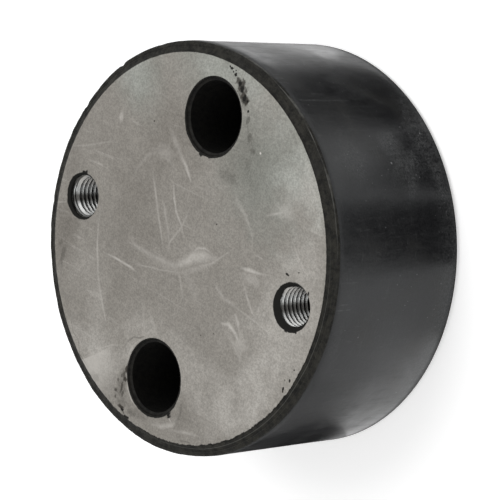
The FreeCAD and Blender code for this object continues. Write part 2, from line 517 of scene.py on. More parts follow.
def grainGroup():  # fine blasted or moulded grain: tone, and height for a bump
    group, given, result = newGroup("grain", {"Place": None, "Scale": 900, "Patch Scale": 60},
                                    ["Tone", "Patches", "Height"])
    share = groupLook["middleTone"]
    fine = cloud(given["Place"], given["Scale"], *groupLook["fineNoise"])
    middleScale = times(given["Scale"], groupLook["middleScale"])
    middle = cloud(given["Place"], middleScale, *groupLook["middleNoise"])
    put(plus(times(fine, 1 - share), times(middle, share)), result["Tone"])
    put(cloud(given["Place"], given["Patch Scale"], *groupLook["patchNoise"]), result["Patches"])
    put(plus(fine, times(middle, groupLook["middleHeight"])), result["Height"])
    return group


scratch, spot, flash, specks, grain = scratchGroup(), spotGroup(), flashGroup(), speckGroup(), grainGroup()


def place(group, **values):
    node = addNode("Group")
    node.node_tree = group
    for label, value in values.items():
        put(value, node.inputs[label.replace("_", " ")])
    return node.outputs


def maskOf(group, **values):
    return place(group, **values)["Mask"]


def grainAt(where, scale, patchScale):
    return place(grain, Place=where, Scale=scale, Patch_Scale=patchScale)


def drawSpots(total, where, spots, edgeNoise, ragged, soft, join=most):
    for x, y, r, *more in spots:  # more: stretch along x and y, or strength, or all three
        alongX, alongY = more[:2] if len(more) > 1 else (1, 1)
        mask = maskOf(spot, Place=where, Centre=(x * mm, y * mm, 0), Radius=r * mm, Stretch=(alongX, alongY, 1),
                      Ragged=ragged, Soft=soft, Edge_Noise=edgeNoise)
        total = join(total, times(mask, more[-1]) if len(more) % 2 else mask)
    return total


def drawStrokes(total, where, strokes, patches):  # strokes run from point to point: x, y, half width, strength
    for stroke in strokes:
        for (x1, y1, w1, s1), (x2, y2, w2, s2) in zip(stroke, stroke[1:]):
            mark = maskOf(scratch, Place=where, Start=(x1 * mm, y1 * mm, 0), End=(x2 * mm, y2 * mm, 0),
                          Start_Width=w1 * mm, End_Width=w2 * mm, Start_Strength=s1, End_Strength=s2, Patches=patches)
            total = most(total, mark)
    return total


def emptyMaterial(name):
    material = bpy.data.materials.new(name)
    material.use_nodes = True
    drawing["tree"] = material.node_tree
    material.node_tree.nodes.clear()
    return material


def newFinish(name):
    finish = emptyMaterial(name)
    shader = addNode("BsdfPrincipled")
    addNode("OutputMaterial", Surface=shader.outputs[0])
    return finish, shader, addNode("TexCoord").outputs["Object"]


def dress(shader, tone, rough, gloss, height, bumps, metal=0.0):  # bumps: strength and distance
    put(tone, shader.inputs["Base Color"])
    put(metal, shader.inputs["Metallic"])
    put(rough, shader.inputs["Roughness"])
    shader.inputs["Specular IOR Level"].default_value = gloss
    strength, distance = bumps
    bump = addNode("Bump", Strength=strength, Distance=distance, Height=height)
    put(bump.outputs[0], shader.inputs["Normal"])


# steel finish: places and radii in mm on the front face, other lengths in metres
steelLook = {
    "grey": (0.232, 0.219, 0.198, 1), "dark": (0.160, 0.148, 0.132, 1), "pale": (0.372, 0.357, 0.331, 1),
    "cool": (0.93, 1.0, 1.0, 1), "bare": (0.50, 0.48, 0.45, 1), "thread": (0.30, 0.305, 0.30, 1),
    "stain": (0.030, 0.026, 0.021, 1), "skin": (0.0075, 0.0075, 0.0065, 1),
    "roughness": (0.3, 0.7, 0.47, 0.58), "threadRougher": -0.16, "skinRougher": 0.15, "gloss": 0.1,
    "bumps": (0.35, 0.00012), "grain": (1500, 28),
    # noises, the last four for edges, and what they do to the tone
    "mottle": ((380, 6, 0.8), (0.32, 0.68, -0.10, 0.10)), "clouds": ((62, 4, 0.6, 0.8), (0.35, 0.65, -0.09, 0.09)),
    "broad": (11, 4, 0.55), "paleRange": (0.48, 0.75, 0.0, 0.36), "darkRange": (0.40, 0.72, 0.07, 0.36),
    "speckleRange": (0.34, 0.66, 0.81, 1.19),
    "wide": (45, 4, 0.65), "fine": (500, 4, 0.65), "break": (330, 4, 0.65), "torn": (900, 4, 0.7),
    # broad tones: centre, radius, stretch and strength; edges: how ragged and how soft
    "toneEdge": (0.35, 0.95), "coolEdge": (0.3, 0.95),
    "coolTones": ((32, 44, 40), (-42, 54, 24), (0, 66, 20, 2, 1)),
    "paleTones": ((-42, 54, 17, .45), (-30, -54, 18, 1.3, .8, .5), (60, -14, 30, .9, 1.5, .75), (44, -46, 20, .4),
     (50, -34, 17, .4), (-32, -38, 15, .32), (-47, -50, 12, .3), (30, -20, 14, .18), (50, 42, 20, .75),
     (62, 20, 14, .35), (8, 66, 18, 2, .5, .3), (8, -44, 30, 1.7, .75, .42), (32, -52, 16, 1, .8, .3),
     (-16, -36, 14, 1.2, .8, .25), (2, 6, 20, 1, .8, .15), (-48, -30, 18, .25)),
    "darkTones": ((1, 14, 17, .16), (-26, 22, 26, 1.3, .7, .22), (-63, -16, 16, .7, 1.3, .7),
     (-30, 4, 24, 1, 1.2, .35), (22, 44, 17, 1, 1.2, .45), (-12, 40, 18, 1.6, 1, .4), (-66, 8, 9, .6, 1.4, .4),
     (19, -56, 8, 1, 1.4, .35), (-16, -57, 7, .8, 1.5, .35)),
    # pale strokes from point to point: place, half width and strength; bend: scale, detail and how far they stray
    "strokeStrength": 0.8, "bendScale": 55, "bendDetail": 2, "bendFar": 0.0016,
    "strokes": (((-14.8, -53.6, .4, 0), (-13.6, -56.5, .5, .55), (-11.6, -59.6, .5, .8), (-8.7, -62.4, .5, .7),
      (-5.1, -64.3, .4, 0)),
     ((-15.4, -51, .5, .1), (-15, -45.6, .6, .45), (-13, -41.4, .6, .45), (-9.6, -37.9, .5, .1)),
     ((11.8, -60.9, .6, .7), (15.2, -62.8, .6, .4)),
     ((3, -67, 1, 0), (9.5, -65.4, 1.7, .6), (14.6, -62.4, 1.7, .55), (17, -57.5, 1, 0)),
     ((13, -65, 1, .1), (21, -62.6, 1.2, .55), (30, -60.6, .8, 0)),
     ((-38.4, -58, .4, .3), (-30, -50.6, .6, .45), (-25.5, -47.8, .6, .4), (-19, -45, .5, 0)),
     ((42, 9.5, 1, 0), (46, 4, 1.6, .14), (45, -3, 1.6, .12), (41, -7, 1, 0)),
     ((4, 30, .8, 0), (11, 27.5, 1.2, .16), (18, 25, 1, 0)),
     ((-24.5, 22, .6, 0), (-21.5, 17.5, 1, .4), (-15.5, 7, 1, .42), (-11.8, 0, .8, .38), (-9.5, -4, .6, 0)),
     ((-18.5, 17.5, .6, 0), (-14, 11.5, 1.2, .26), (-9, 3, 1, .28), (-5.5, -5.5, .8, 0)),
     ((-12, 21.3, .7, .15), (-10, 15.5, .9, .62), (-7.5, 11.5, .9, .6), (-4, 8.3, .8, .45), (0, 3, .6, .05)),
     ((-1.3, 16, .5, 0), (-2.3, 11, .8, .32), (-4, 6, .8, .28), (-7.2, .3, .8, .34), (-7.6, -4.5, .6, .1)),
     ((-15, 21.3, .5, 0), (-9, 20.8, .5, .3), (-1, 20.8, .5, .25), (8, 21.1, .4, 0)),
     ((-29, -5, 1, 0), (-24.5, -7.6, 1.8, .36), (-13, -7.8, 1.9, .32), (-2, -7.3, 2.2, .42), (2.5, -4.2, 3, .64),
      (6.5, -.6, 4, .74), (11, 1.4, 4, .62), (16.5, 2.6, 2.6, .25)),
     ((3, -2.6, .6, .1), (7, 3, .9, .6), (10.5, 4.2, .9, .6), (16.5, 3.4, .7, .15)),
     ((2, -8.6, 2, .2), (9, -4.2, 2.2, .3), (15.5, .2, 1.2, .4), (19.5, 4.5, .7, .4), (24.5, 9.5, .5, 0)),
     ((.5, -9, .6, .3), (-8, -11, .6, .38), (-18, -13.1, .6, .34), (-27.5, -14.5, .5, 0)),
     ((-26, -6.4, 2.4, 0), (-12, -9, 2.6, .16), (0, -8.6, 2.6, .2)),
     ((1, -9, .8, .3), (4, -14, .9, .3), (7.5, -20, .6, 0)), ((4, -8, 3, .18), (11, -13, 4.5, .16), (16, -18, 3, 0)),
     ((-41, -16, .4, 0), (-33, -16, .9, .75), (-24, -16, .9, .75), (-20, -16.4, .4, .05)),
     ((-16, -19.8, .4, 0), (-4, -19.8, .5, .25), (10.5, -20.5, .4, .12)),
     ((-46.8, 3, .5, 0), (-45.8, -7, .9, .32), (-43.6, -16, 1, .5), (-40.6, -24.5, 1, .42), (-37, -31, .9, .32),
      (-33.8, -36, .8, .5), (-31, -40.3, .6, .25)),
     ((27, -18, .9, .4), (30.5, -17.2, 1.5, .9), (34.5, -19.2, 1.3, .7), (38, -22.2, 1.2, .55),
      (39.5, -26.5, 1.2, .25)), ((32.3, -13, 1, .55), (34.6, -15.2, 1.2, .65), (36.6, -19.2, .8, .2)),
     ((33.5, -18.5, 1.4, .2), (41.5, -20.5, 1.6, .1)),
     ((29, -19.5, 1.2, 0), (34, -22.3, 1.7, .3), (39, -26.3, 1.5, .38), (40.5, -28, 1, 0)),
     ((20.6, -6.8, 1.4, .3), (25.5, -9.3, 1.4, .36), (33, -10.4, .8, .24), (48, -12.3, .7, .3), (62.8, -13.4, .4, .1)),
     ((30, 3.8, .8, .2), (34, 4.6, 1.5, .95), (38, 5.2, 1.1, .6), (44, 6.8, .5, 0)),
     ((31.5, .5, .6, 0), (35.5, -4.4, .9, .45), (39.6, -8.9, .9, .5), (42.5, -10.3, .5, .1)),
     ((16.5, 29.5, 1, 0), (21.5, 24.6, 1.6, .3), (26.5, 21.8, 1.3, .36), (31.5, 16.6, 1, .2), (33, 11, .8, 0)),
     ((35.5, 25.6, .7, .1), (41, 28, 1.1, .65), (45.5, 30.6, 1, .35), (52, 34, .7, 0)),
     ((-21, 41, 1.6, 0), (-16.5, 36, 2.4, .32), (-11, 31.2, 1.8, .36), (-7.6, 28.6, 1.4, .7), (-5, 26, 1.1, .62),
      (-3, 23.8, .6, 0)),
     ((-33.5, 13.5, .8, 0), (-32, 19.5, 1.2, .18), (-28.5, 25.5, 1.4, .2), (-21.5, 30.5, 1.4, .2), (-12, 31, 1.2, .1)),
     ((-30.5, 27.6, .8, 0), (-25, 29.6, 1.2, .2), (-16, 27.4, 1.2, .18), (-11, 25.4, .8, 0)),
     ((-15, -23, 1.2, 0), (-12.4, -30, 1.6, .24), (-10.6, -35, 1, 0)),
     ((-9.5, -28, 1.2, .1), (-4.4, -33.2, 1.6, .26), (-2, -35.6, 1, 0)),
     ((-70, 15.3, .5, .1), (-62, 18.5, .8, .32), (-50, 23.7, .6, .2), (-44, 25.4, .4, 0)),
     ((-70.3, -7, .6, .5), (-66, -5.4, .6, .3)), ((42, 30, 1.4, 0), (49, 35.4, 1.6, .16), (54, 38.5, 1, 0)),
     ((49, 22.6, .8, 0), (55, 17, 1, .3), (61, 12, .5, .1))),
    # wiping streaks: angle, strength and scale, and the patches that they show in
    "wipes": ((0.7, 0.35, 350), (2.3, 0.3, 425), (1.4, 0.25, 300)), "wipeStretch": (0.09, 1, 1),
    "wipeNoise": (5, 0.7), "wipeRange": (0.56, 0.74, 0.0), "wipePatches": ((32, 2), (0.48, 0.62)),
    # a wiped patch with one straight side: place, the way that side faces, its edge, and how the patch fades
    "wedge": (-38.6, -58.4), "wedgeSide": (0.616, -0.788, 0), "wedgeEdge": 0.0006,
    "wedgeFade": (0.006, 0.022, 0.5, 0.0),
    # centre, radius, stretch and strength
    "paleEdge": (0.35, 0.85), "darkEdge": (0.5, 0.6), "stainMetal": 0.7,
    "paleSpots": ((-46, 35, 2.2, .8, 1.4, .36), (26.3, 45.3, .6, 1.3), (9, .5, 4.4, 1.4, .8, .3), (38, -22, 5, .3),
     (-30, -54, 6, 1.6, .8, .25), (36, 2, 4, 1.6, .8, .25), (44, 30, 5, 1.4, .8, .25), (-20, 30, 5, 1.5, .8, .2),
     (45.6, -7.2, 1.5, .2)),
    "darkSpots": ((8.6, 65.8, 1.8, 1.3, .9, .85), (10.1, 64.4, 2.6, .9, 1.3, .9), (12.4, 61.7, 2.7, .8, 1.4, .9),
     (14.3, 60.1, 1.6, .9, 1.3, .95), (-17.7, -58.2, 1, .6), (-17.6, -62.3, 1.3, 1, .8, .8),
     (-17.2, -64.6, .9, .7, 1.2, .7), (-15.4, -55.2, 1.7, 1, 1.1, .75), (-14.5, -52.6, 1.5, .6, 1.6, .95),
     (-14, -56.5, 1.8, 1, .8, .95), (-15, -60.4, 1.6, .6, 1.6, .85), (-13.9, -62.3, 1.3, .7, 1.3, .7),
     (-13.3, -67.1, 1.4, 1.4, .7, .95), (-7, -67, 2.6, 1.3, .7, .35), (-15, -60, 3.4, .8, 1.4, .3),
     (-13, -65.5, 3, 1.2, .9, .35), (-3, -66, 3.2, 2, .6, .25), (-14.4, -52.5, 1.6, .6, 1.9, .6),
     (17, 54, 1.3, 1, 1.8, .45), (19.6, 48.6, 1.3, 1, 2.2, .35), (22.6, 44.8, 1.3, 1.3, 1, .4),
     (21.5, 40, 2.2, 1, 1.2, .18), (13, 32.4, 3.4, 1.9, .7, .22), (-28.7, 38.9, .45, 1), (13.6, 14.4, .4, 1),
     (24.2, -23.1, .4, 1), (18.3, -26.1, .4, 1), (52.2, 9.8, .45, 1), (56.7, 12.4, .4, 1), (65.2, -20.3, .5, 1),
     (62.1, -25.3, .45, 1), (62.4, -29.4, .5, 1), (-14.5, -57, 3, .7, 1.6, .25), (-30, -62, 2.5, 1.5, .8, .2),
     (-61.3, -25, 2, .7, 2.4, .35), (-64, -21, 1.2, 1, 1.6, .25)),
    "darkLines": (((8.4, 66, .7, .6), (10.2, 64.2, 1.3, .95), (11.9, 62.3, .9, .9), (14.2, 60, 1.3, .9)),
     ((-17.6, -54, 1, .05), (-16.8, -59.5, 1.8, .26), (-12, -64.5, 1.8, .24), (-4, -67.2, 1.2, .05)),
     ((46.9, -7.2, .4, .3), (46.2, -6, .4, .3), (44.9, -6, .4, .3), (44.2, -7.2, .4, .3), (44.9, -8.5, .4, .3),
      (46.2, -8.5, .4, .3), (46.9, -7.2, .4, .3)),
     ((-65, -18, .4, .2), (-62.8, -20.5, .5, .35), (-61.4, -24, .5, .4), (-62, -28, .5, .3), (-64, -30.5, .4, .1)),
     ((15.8, 57, .5, .2), (16.8, 53.5, .7, .4), (18.6, 50, .6, .3), (20.8, 47.6, .6, .35), (22.8, 45.2, .7, .4),
      (21.8, 42.5, .5, .25), (24.5, 40, .4, .1)),
     ((8, 33.5, .5, .1), (12.5, 32.2, .8, .28), (16.5, 31, 1.2, .28), (20, 31.5, .6, .1)),
     ((-50, -45, .3, .3), (-46.5, -51, .4, .55), (-43, -52.6, .35, .4), (-40.6, -57.4, .35, .5), (-34, -60.4, .3, .1)),
     ((-14.5, -51.4, .6, .5), (-14.3, -53.4, .8, 1.2), (-13.6, -54.8, .5, .4)),
     ((-16, -54.4, .8, .3), (-14.6, -56, 1, 1), (-13.2, -57.6, .5, .5)),
     ((-15.6, -59, .5, .3), (-15, -61, .8, .9), (-13.8, -62.8, .4, .2)),
     ((-13.9, -66.4, .6, .6), (-12.2, -67.8, .7, 1.1), (-11, -69, .6, .8)),
     ((-19.8, -51, .6, 0), (-18.8, -47, .7, .24), (-17, -42.6, .7, .24), (-14.6, -39.8, .6, .45),
      (-12.2, -39.2, .6, .5), (-9.8, -37.6, .5, .3)),
     ((16, -52.5, .7, .05), (17.2, -56, 1.2, .4), (16.6, -59.4, 1.1, .4), (14, -62.6, .7, .05)),
     ((20, -66.2, .5, .4), (24.6, -65, .5, .5))),
    # rubber skin round the holes: centre, radius, torn depth and the side it leans to, then how far it runs down
    "skins": ((-57.25, 0, 9, 1.1, -.3, -.1), (57.25, 0, 8.85, 1.1, -.25, -.3), (0, 50, 14.55, .9, -.1, -.3),
     (0, -50, 14.55, 1.2, .2, -.35)),
    "skinDepth": ((240, 3), (0.3, 0.7, -0.0007, 0.0006, False)), "skinFoot": (0.0624, 0.0628),
    "leftSkin": (-0.030, -0.010, 0.0007, 0.0),
    # torn points of that skin: centre, radius and stretch
    "spikeEdge": (0.6, 0.45),
    "spikes": ((-12.4, -67.9, .9, 1.2, .8), (-9.4, -69.6, 1, 1.9, .6), (51.2, -49.2, .7), (9.3, 65.2, 1.1, .9, 1.2),
     (10.8, 63.6, 1.3, .8, 1.3), (13, 60.9, 1.5, .8, 1.1), (14.6, 60.3, .7), (3.7, 69, .8), (4.8, 68.2, .5),
     (2.6, 69.4, .5, 1.2, .8), (5.9, 68.9, .4), (16, 57.2, .5), (6.2, 67.6, .8), (-59.4, 8.7, 1.1, 1.4, .7),
     (51.5, 9.9, .7, 1.4, .6), (62.2, -28.5, .7, .7, 1.6), (64.3, -24.6, .6, .8, 1.3), (63.1, 7, .9, .6, 1.2),
     (-58, 9.2, .9, .8, 1), (-64.4, -4.1, .8, 1, .6), (57, -8.7, 1, 1, .7), (61.5, -7.7, .9, 1, .7),
     (11.4, -59.6, 1.7, .9, 1), (-1.5, 35.4, 1.2, 1.5, .7), (2.6, 35.6, .8, 1, .8)),
    # round the plate: torn depth from one side to the other, the side it leans to and by how much
    "rimTorn": (0.040, 0.060, 0.0007, 0.0029), "rimLean": (0.5, -0.85), "rimShift": 0.1,
    # inside the threads, the same in both holes, painted light on one side and painted shade on the other: place from
    # the hole's centre, radius, strength and colour
    "threadTop": (0.0636, 0.0632), "threadEdge": (0.12, 0.8),
    "threadLightAndShade": ((-5.6, 4.6, 5, .65, "bare"), (-6.6, -3.2, 3, .8, "stain"), (-2.6, -7.2, 4, .3, "stain")),
}


def paleWear(flat, bent, fine, breakNoise):  # strokes, wiping streaks, a wiped patch, pale spots
    look = steelLook
    mask = times(drawStrokes(0.0, bent, look["strokes"], breakNoise), look["strokeStrength"])
    for angle, strong, scale in look["wipes"]:
        turned = addNode("Mapping", Vector=bent, Rotation=(0, 0, angle), Scale=look["wipeStretch"])
        streak = ramp(cloud(turned.outputs[0], scale, *look["wipeNoise"]), *look["wipeRange"], strong)
        mask = most(mask, times(streak, haze(vecCalc("ADD", flat, (angle, 0, 0)), *look["wipePatches"])))
    x, y = look["wedge"]
    away = vecCalc("SUBTRACT", bent, (x * mm, y * mm, 0))
    side = ramp(dot(away, look["wedgeSide"]), 0.0, look["wedgeEdge"])
    wedge = times(ramp(vecCalc("LENGTH", away), *look["wedgeFade"]), side)
    return drawSpots(most(mask, wedge), flat, look["paleSpots"], fine, *look["paleEdge"])


def rubberSkin(where, flat, fine, breakNoise, tornNoise):  # torn rubber at the holes and round the plate
    look = steelLook
    skin = 0.0
    for x, y, r, torn, leanX, leanY in look["skins"]:
        mark = maskOf(flash, Place=where, Centre=(x * mm, y * mm, 0), Radius=r * mm, Torn=torn * mm,
                      Heavy_Side=(leanX * mm, leanY * mm, 0), Edge_Noise=breakNoise)
        skin = most(skin, mark)
    skin = drawSpots(skin, flat, look["spikes"], tornNoise, *look["spikeEdge"])
    (leanX, leanY), shift = look["rimLean"], look["rimShift"]
    torn = ramp(dot(where, (leanX, leanY, 0)), *look["rimTorn"])
    inside = maskOf(flash, Place=where, Centre=(0, 0, 0), Radius=frontPlateSize["radius"] * mm, Torn=torn,
                    Heavy_Side=(-leanX * mm * shift, -leanY * mm * shift, 0),
                    Edge_Noise=times(plus(fine, breakNoise), 0.5))
    return most(skin, minus(1.0, inside))


def usedFace(where, flat, fine, breakNoise, tornNoise, tone, rough):  # wear, stains, skins and cut threads
    look = steelLook
    bend = addNode("TexNoise", Vector=flat, Scale=look["bendScale"], Detail=look["bendDetail"])
    shift = vecCalc("SUBTRACT", bend.outputs["Color"], (0.5, 0.5, 0.5))  # hand strokes are never straight
    shift = vecCalc("SCALE", shift, scale=look["bendFar"])
    bent = flattened(vecCalc("ADD", flat, shift))
    tone = blend(paleWear(flat, bent, fine, breakNoise), tone, look["bare"])
    stained = drawSpots(0.0, flat, look["darkSpots"], fine, *look["darkEdge"])
    stained = drawStrokes(stained, bent, look["darkLines"], breakNoise)
    tone = blend(stained, tone, look["stain"])
    skin = rubberSkin(where, flat, fine, breakNoise, tornNoise)
    x, _, height = addNode("SeparateXYZ", Vector=where).outputs
    torn = haze(where, *look["skinDepth"])
    torn = minus(torn, ramp(x, *look["leftSkin"]))  # less of it on the left
    skin = times(skin, ramp(plus(height, torn), *look["skinFoot"]))
    below = ramp(height, *look["threadTop"])  # cut threads are brighter than the blasted face
    tone = blend(below, tone, look["thread"])
    ragged, soft = look["threadEdge"]
    for holeX, holeY in reversed(frontPlateSize["tappedHoles"]):  # painted highlight on one side, painted shade on the other
        for x, y, r, strong, colour in look["threadLightAndShade"]:
            mark = maskOf(spot, Place=flat, Centre=((holeX + x) * mm, (holeY + y) * mm, 0), Radius=r * mm,
                          Ragged=ragged, Soft=soft, Edge_Noise=fine)
            tone = blend(times(times(mark, below), strong), tone, look[colour])
    rough = plus(plus(rough, times(below, look["threadRougher"])), times(skin, look["skinRougher"]))
    tone = blend(skin, tone, look["skin"])
    metal = minus(1.0, most(skin, times(stained, look["stainMetal"])))
    return tone, metal, rough


def makeSteelFinish(name, used, seed):
    look = steelLook
    finish, shader, where = newFinish(name)
    shifted = vecCalc("ADD", where, (seed, seed * 0.7, 0))
    grained = grainAt(shifted, *look["grain"])
    broad, mottle = cloud(shifted, *look["broad"]), haze(shifted, *look["mottle"])
    flat = flattened(where)
    wide, *noises = [cloud(flat, *look[kind]) for kind in ("wide", "fine", "break", "torn")]
    mottle = plus(mottle, haze(shifted, *look["clouds"]))
    paleTone, darkTone = ramp(broad, *look["paleRange"]), ramp(grained["Patches"], *look["darkRange"])
    paleTone = drawSpots(paleTone, flat, look["paleTones"], wide, *look["toneEdge"], join=plus)
    darkTone = drawSpots(darkTone, flat, look["darkTones"], wide, *look["toneEdge"], join=plus)
    level = plus(minus(paleTone, darkTone), mottle)
    tone = blend(within(times(level, -1.0)), look["grey"], look["dark"])
    tone = blend(within(level), tone, look["pale"])
    cool = drawSpots(0.0, flat, look["coolTones"], wide, *look["coolEdge"])
    tone = blend(cool, tone, look["cool"], "MULTIPLY")
    speckle = addNode("HueSaturation", Color=tone, Value=ramp(grained["Tone"], *look["speckleRange"]))
    tone, metal = speckle.outputs[0], 1.0
    rough = ramp(grained["Patches"], *look["roughness"])
    if used:
        tone, metal, rough = usedFace(where, flat, *noises, tone, rough)
    dress(shader, tone, rough, look["gloss"], grained["Height"], look["bumps"], metal)
    return finish


# rubber finish of the moulded wall: places and radii in mm, other lengths in metres
wallLook = {
    "black": (0.0078, 0.0078, 0.0086, 1), "worn": (0.017, 0.0165, 0.0155, 1), "dust": (0.14, 0.143, 0.143, 1),
    "tint": (0.955, 0.985, 1.0, 1), "roughness": (0.3, 0.7, 0.30, 0.46), "gloss": 0.38,
    "bumps": (0.25, 0.00010), "grain": (1100, 40), "slowNoise": (45, 3, 0.5), "slowHeight": 6.0,
    "wornRange": (0.4, 0.75, 0.0, 0.8), "wideNoise": (80, 4, 0.65), "breakNoise": (330, 4, 0.65),
    # film of dust: run down the wall in streaks and lying as powder, thickest at the foot
    "upright": (1, 1, 0.16), "streak": ((620, 5, 0.7), (0.45, 0.72)), "powder": ((1300, 6, 0.85), (0.38, 0.66)),
    "powderShare": 0.75, "footFilm": (0.000, 0.016, 0.5, 0.07), "filmStrength": 0.9,
    "filmRougher": 0.25, "streakRougher": 0.08,
    "speckScale": 1300, "speckAmount": (0.16, -0.004), "speckStrength": 0.5,
    # fine hairs rubbed round and along the wall, in patches
    "hairs": ((0.25, 0.25, 1.5), (1.4, 1.4, 0.22)), "hair": ((850, 2, 0.5, 0.3), (0.60, 0.74, 0.0, 0.08)),
    "hairPatches": (0.45, 0.60),
    # rougher corners at the front and the back
    "frontCorner": (0.0605, 0.0630), "backCorner": (0.0045, 0.0020, 0.0, 0.30), "cornerRougher": 0.30,
    # pale scuffs down the side: angle, from height, to height, half width and strength
    "scuffWider": 2, "scuffFade": (1.6, 0.7), "scuffBreak": 0.9,
    "scuffs": ((72.5, 58.5, 62.6, .35, .4), (74.2, 59, 61.8, .3, .4), (70.6, 58, 62.6, .25, .3),
     (61.5, 38, 57, .25, .25), (56, 40, 52, .25, .25), (66, 44, 51, .35, .35), (63.5, 34, 59, .4, .4),
     (53, 30, 50, .3, .3), (50.5, 34, 47, .25, .3), (4, 55, 62, .35, .25), (5.5, 56, 61, .3, .25),
     (150, 20, 40, .35, .3), (213, 12, 50, .35, .3)),
    "dots": ((43, 29, 0.56), (52, 7.5, 0.49)), "dotRagged": 0.2,
    # dusty patches: angle, height, radius, stretch along the height and strength
    "dustyEdge": (0.5, 0.9),
    "dusty": ((42, 19, 12, 1.1, .7), (38, 6, 14, .5, .65), (50, 8, 15, .7, .7), (48, 25, 9, 1.2, .55),
     (46, 48, 15, .8, .35), (60, 6, 14, .5, .45), (71, 28, 14, 2, .3), (20, 5, 10, .4, .3), (80, 50, 14, 1, .2),
     (-5, 58, 12, .4, .2), (-12, 9, 10, .8, .15), (97, 6, 8, .6, .3), (-30, 10, 14, .8, .3), (150, 20, 16, 1, .4),
     (200, 45, 14, 1, .3), (250, 15, 16, .8, .35)),
}


def onWall(angle, height):
    r, turn = rubberSize["radius"], math.radians(angle)
    return (r * math.cos(turn) * mm, r * math.sin(turn) * mm, height * mm)


def makeWallFinish():
    look = wallLook
    finish, shader, where = newFinish("mouldedRubber")
    grained = grainAt(where, *look["grain"])
    height = addNode("SeparateXYZ", Vector=where).outputs["Z"]
    tone = blend(ramp(grained["Patches"], *look["wornRange"]), look["black"], look["worn"])
    wideNoise, breakNoise = cloud(where, *look["wideNoise"]), cloud(where, *look["breakNoise"])
    film, (ragged, soft) = 0.0, look["dustyEdge"]
    for angle, high, r, tall, strong in look["dusty"]:
        mark = maskOf(spot, Place=where, Centre=onWall(angle, high), Radius=r * mm, Stretch=(1, 1, tall),
                      Ragged=ragged, Soft=soft, Edge_Noise=wideNoise)
        film = most(film, times(mark, strong))
    streak = haze(vecCalc("MULTIPLY", where, look["upright"]), *look["streak"])
    powder = haze(where, *look["powder"])
    film = most(film, ramp(height, *look["footFilm"]))
    share = look["powderShare"]
    filmMask = times(film, plus(times(streak, 1 - share), times(powder, share)))
    marks = times(filmMask, look["filmStrength"])
    stronger, weaker = look["scuffFade"]
    for angle, low, high, wide, strong in look["scuffs"]:
        mark = maskOf(scratch, Place=where, Start=onWall(angle, low), End=onWall(angle, high),
                      Start_Width=wide * mm, End_Width=wide * look["scuffWider"] * mm, Start_Strength=strong * stronger,
                      End_Strength=strong * weaker, Break=look["scuffBreak"], Patches=breakNoise)
        marks = most(marks, mark)
    for angle, high, r in look["dots"]:
        mark = maskOf(spot, Place=where, Centre=onWall(angle, high), Radius=r * mm, Ragged=look["dotRagged"])
        marks = most(marks, mark)
    share, less = look["speckAmount"]
    dusty = maskOf(specks, Place=where, Scale=look["speckScale"], Amount=plus(times(film, share), less))
    marks = most(marks, times(dusty, look["speckStrength"]))
    for stretch in look["hairs"]:
        hair = haze(vecCalc("MULTIPLY", where, stretch), *look["hair"])
        marks = plus(marks, times(hair, ramp(wideNoise, *look["hairPatches"])))
    tone = blend(marks, tone, look["dust"])
    rough = ramp(grained["Patches"], *look["roughness"])
    rough = plus(plus(rough, times(filmMask, look["filmRougher"])), times(streak, look["streakRougher"]))
    corner = times(ramp(height, *look["frontCorner"]), look["cornerRougher"])
    rough = plus(rough, most(corner, ramp(height, *look["backCorner"])))
    shader.inputs["Specular Tint"].default_value = look["tint"]
    slow = times(cloud(where, *look["slowNoise"]), look["slowHeight"])
    dress(shader, tone, rough, look["gloss"], plus(grained["Height"], slow), look["bumps"])
    return finish


# matt rubber: the rim that the knife has trimmed, and the linings and the bores, which are darkened with painted shade
cutLook = {
    "trimmed": (0.019, 0.018, 0.0145, 1), "chewed": (0.0055, 0.0055, 0.005, 1), "worn": (0.017, 0.0165, 0.0155, 1),
    "paleLinesAndHighlight": (0.12, 0.12, 0.112, 1), "paintedShade": (0.002, 0.002, 0.002, 1),
    # gloss, roughest, smoothest, how deeply pitted and how bright; below 1 the tone is darkened towards near black,
    # which is painted shade in the linings and bores
    "trimmedRubber": (0.12, 0.75, 0.55, 3.0, 1.0), "liningRubber": (0.1, 0.75, 0.55, 1.0, 0.5),
    "boreRubber": (0.08, 0.95, 0.75, 1.0, 0.22), "bumps": (0.6, 0.00022), "grain": (900, 90),
    "chewedNoise": (430, 6, 0.75), "chewedRange": (0.36, 0.62), "wornRange": (0.5, 0.7, 0.0), "wornShare": 0.5,
    # on the rim: fine lines left by the knife, and a painted highlight along the outer edge, each stronger on one side
    "wanderNoise": (25, 2), "wander": 0.0011, "lines": ((2300, 3, 0.6), (0.54, 0.64, 0.0, 0.45)),
    "lineSide": ((0.82, -0.57, 0), (0.035, 0.068, 0.1, 1.0)), "edge": ((110, 4, 0.7), (0.40, 0.60, 0.15, 0.7)),
    "crest": ((0.07450, 0.0746), (0.07485, 0.0747)), "crestSide": ((0.55, 0.835, 0), (0.056, 0.073, 0.1, 1.0)),
}


def onSide(where, side, fade):  # strong on the side that faces this way
    return ramp(dot(where, side), *fade)


def rimLinesAndHighlight(where):
    look = cutLook
    out = vecCalc("LENGTH", flattened(where))
    wander = times(cloud(where, *look["wanderNoise"]), look["wander"])
    lanes = addNode("CombineXYZ", X=plus(out, wander)).outputs[0]
    lines = times(haze(lanes, *look["lines"]), onSide(where, *look["lineSide"]))
    # painted highlight: a thin pale line along the rim's outer edge, on one side
    rise, fall = look["crest"]
    crest = times(ramp(out, *rise), ramp(out, *fall))
    crest = times(crest, onSide(where, *look["crestSide"]))
    return most(lines, times(crest, haze(where, *look["edge"])))


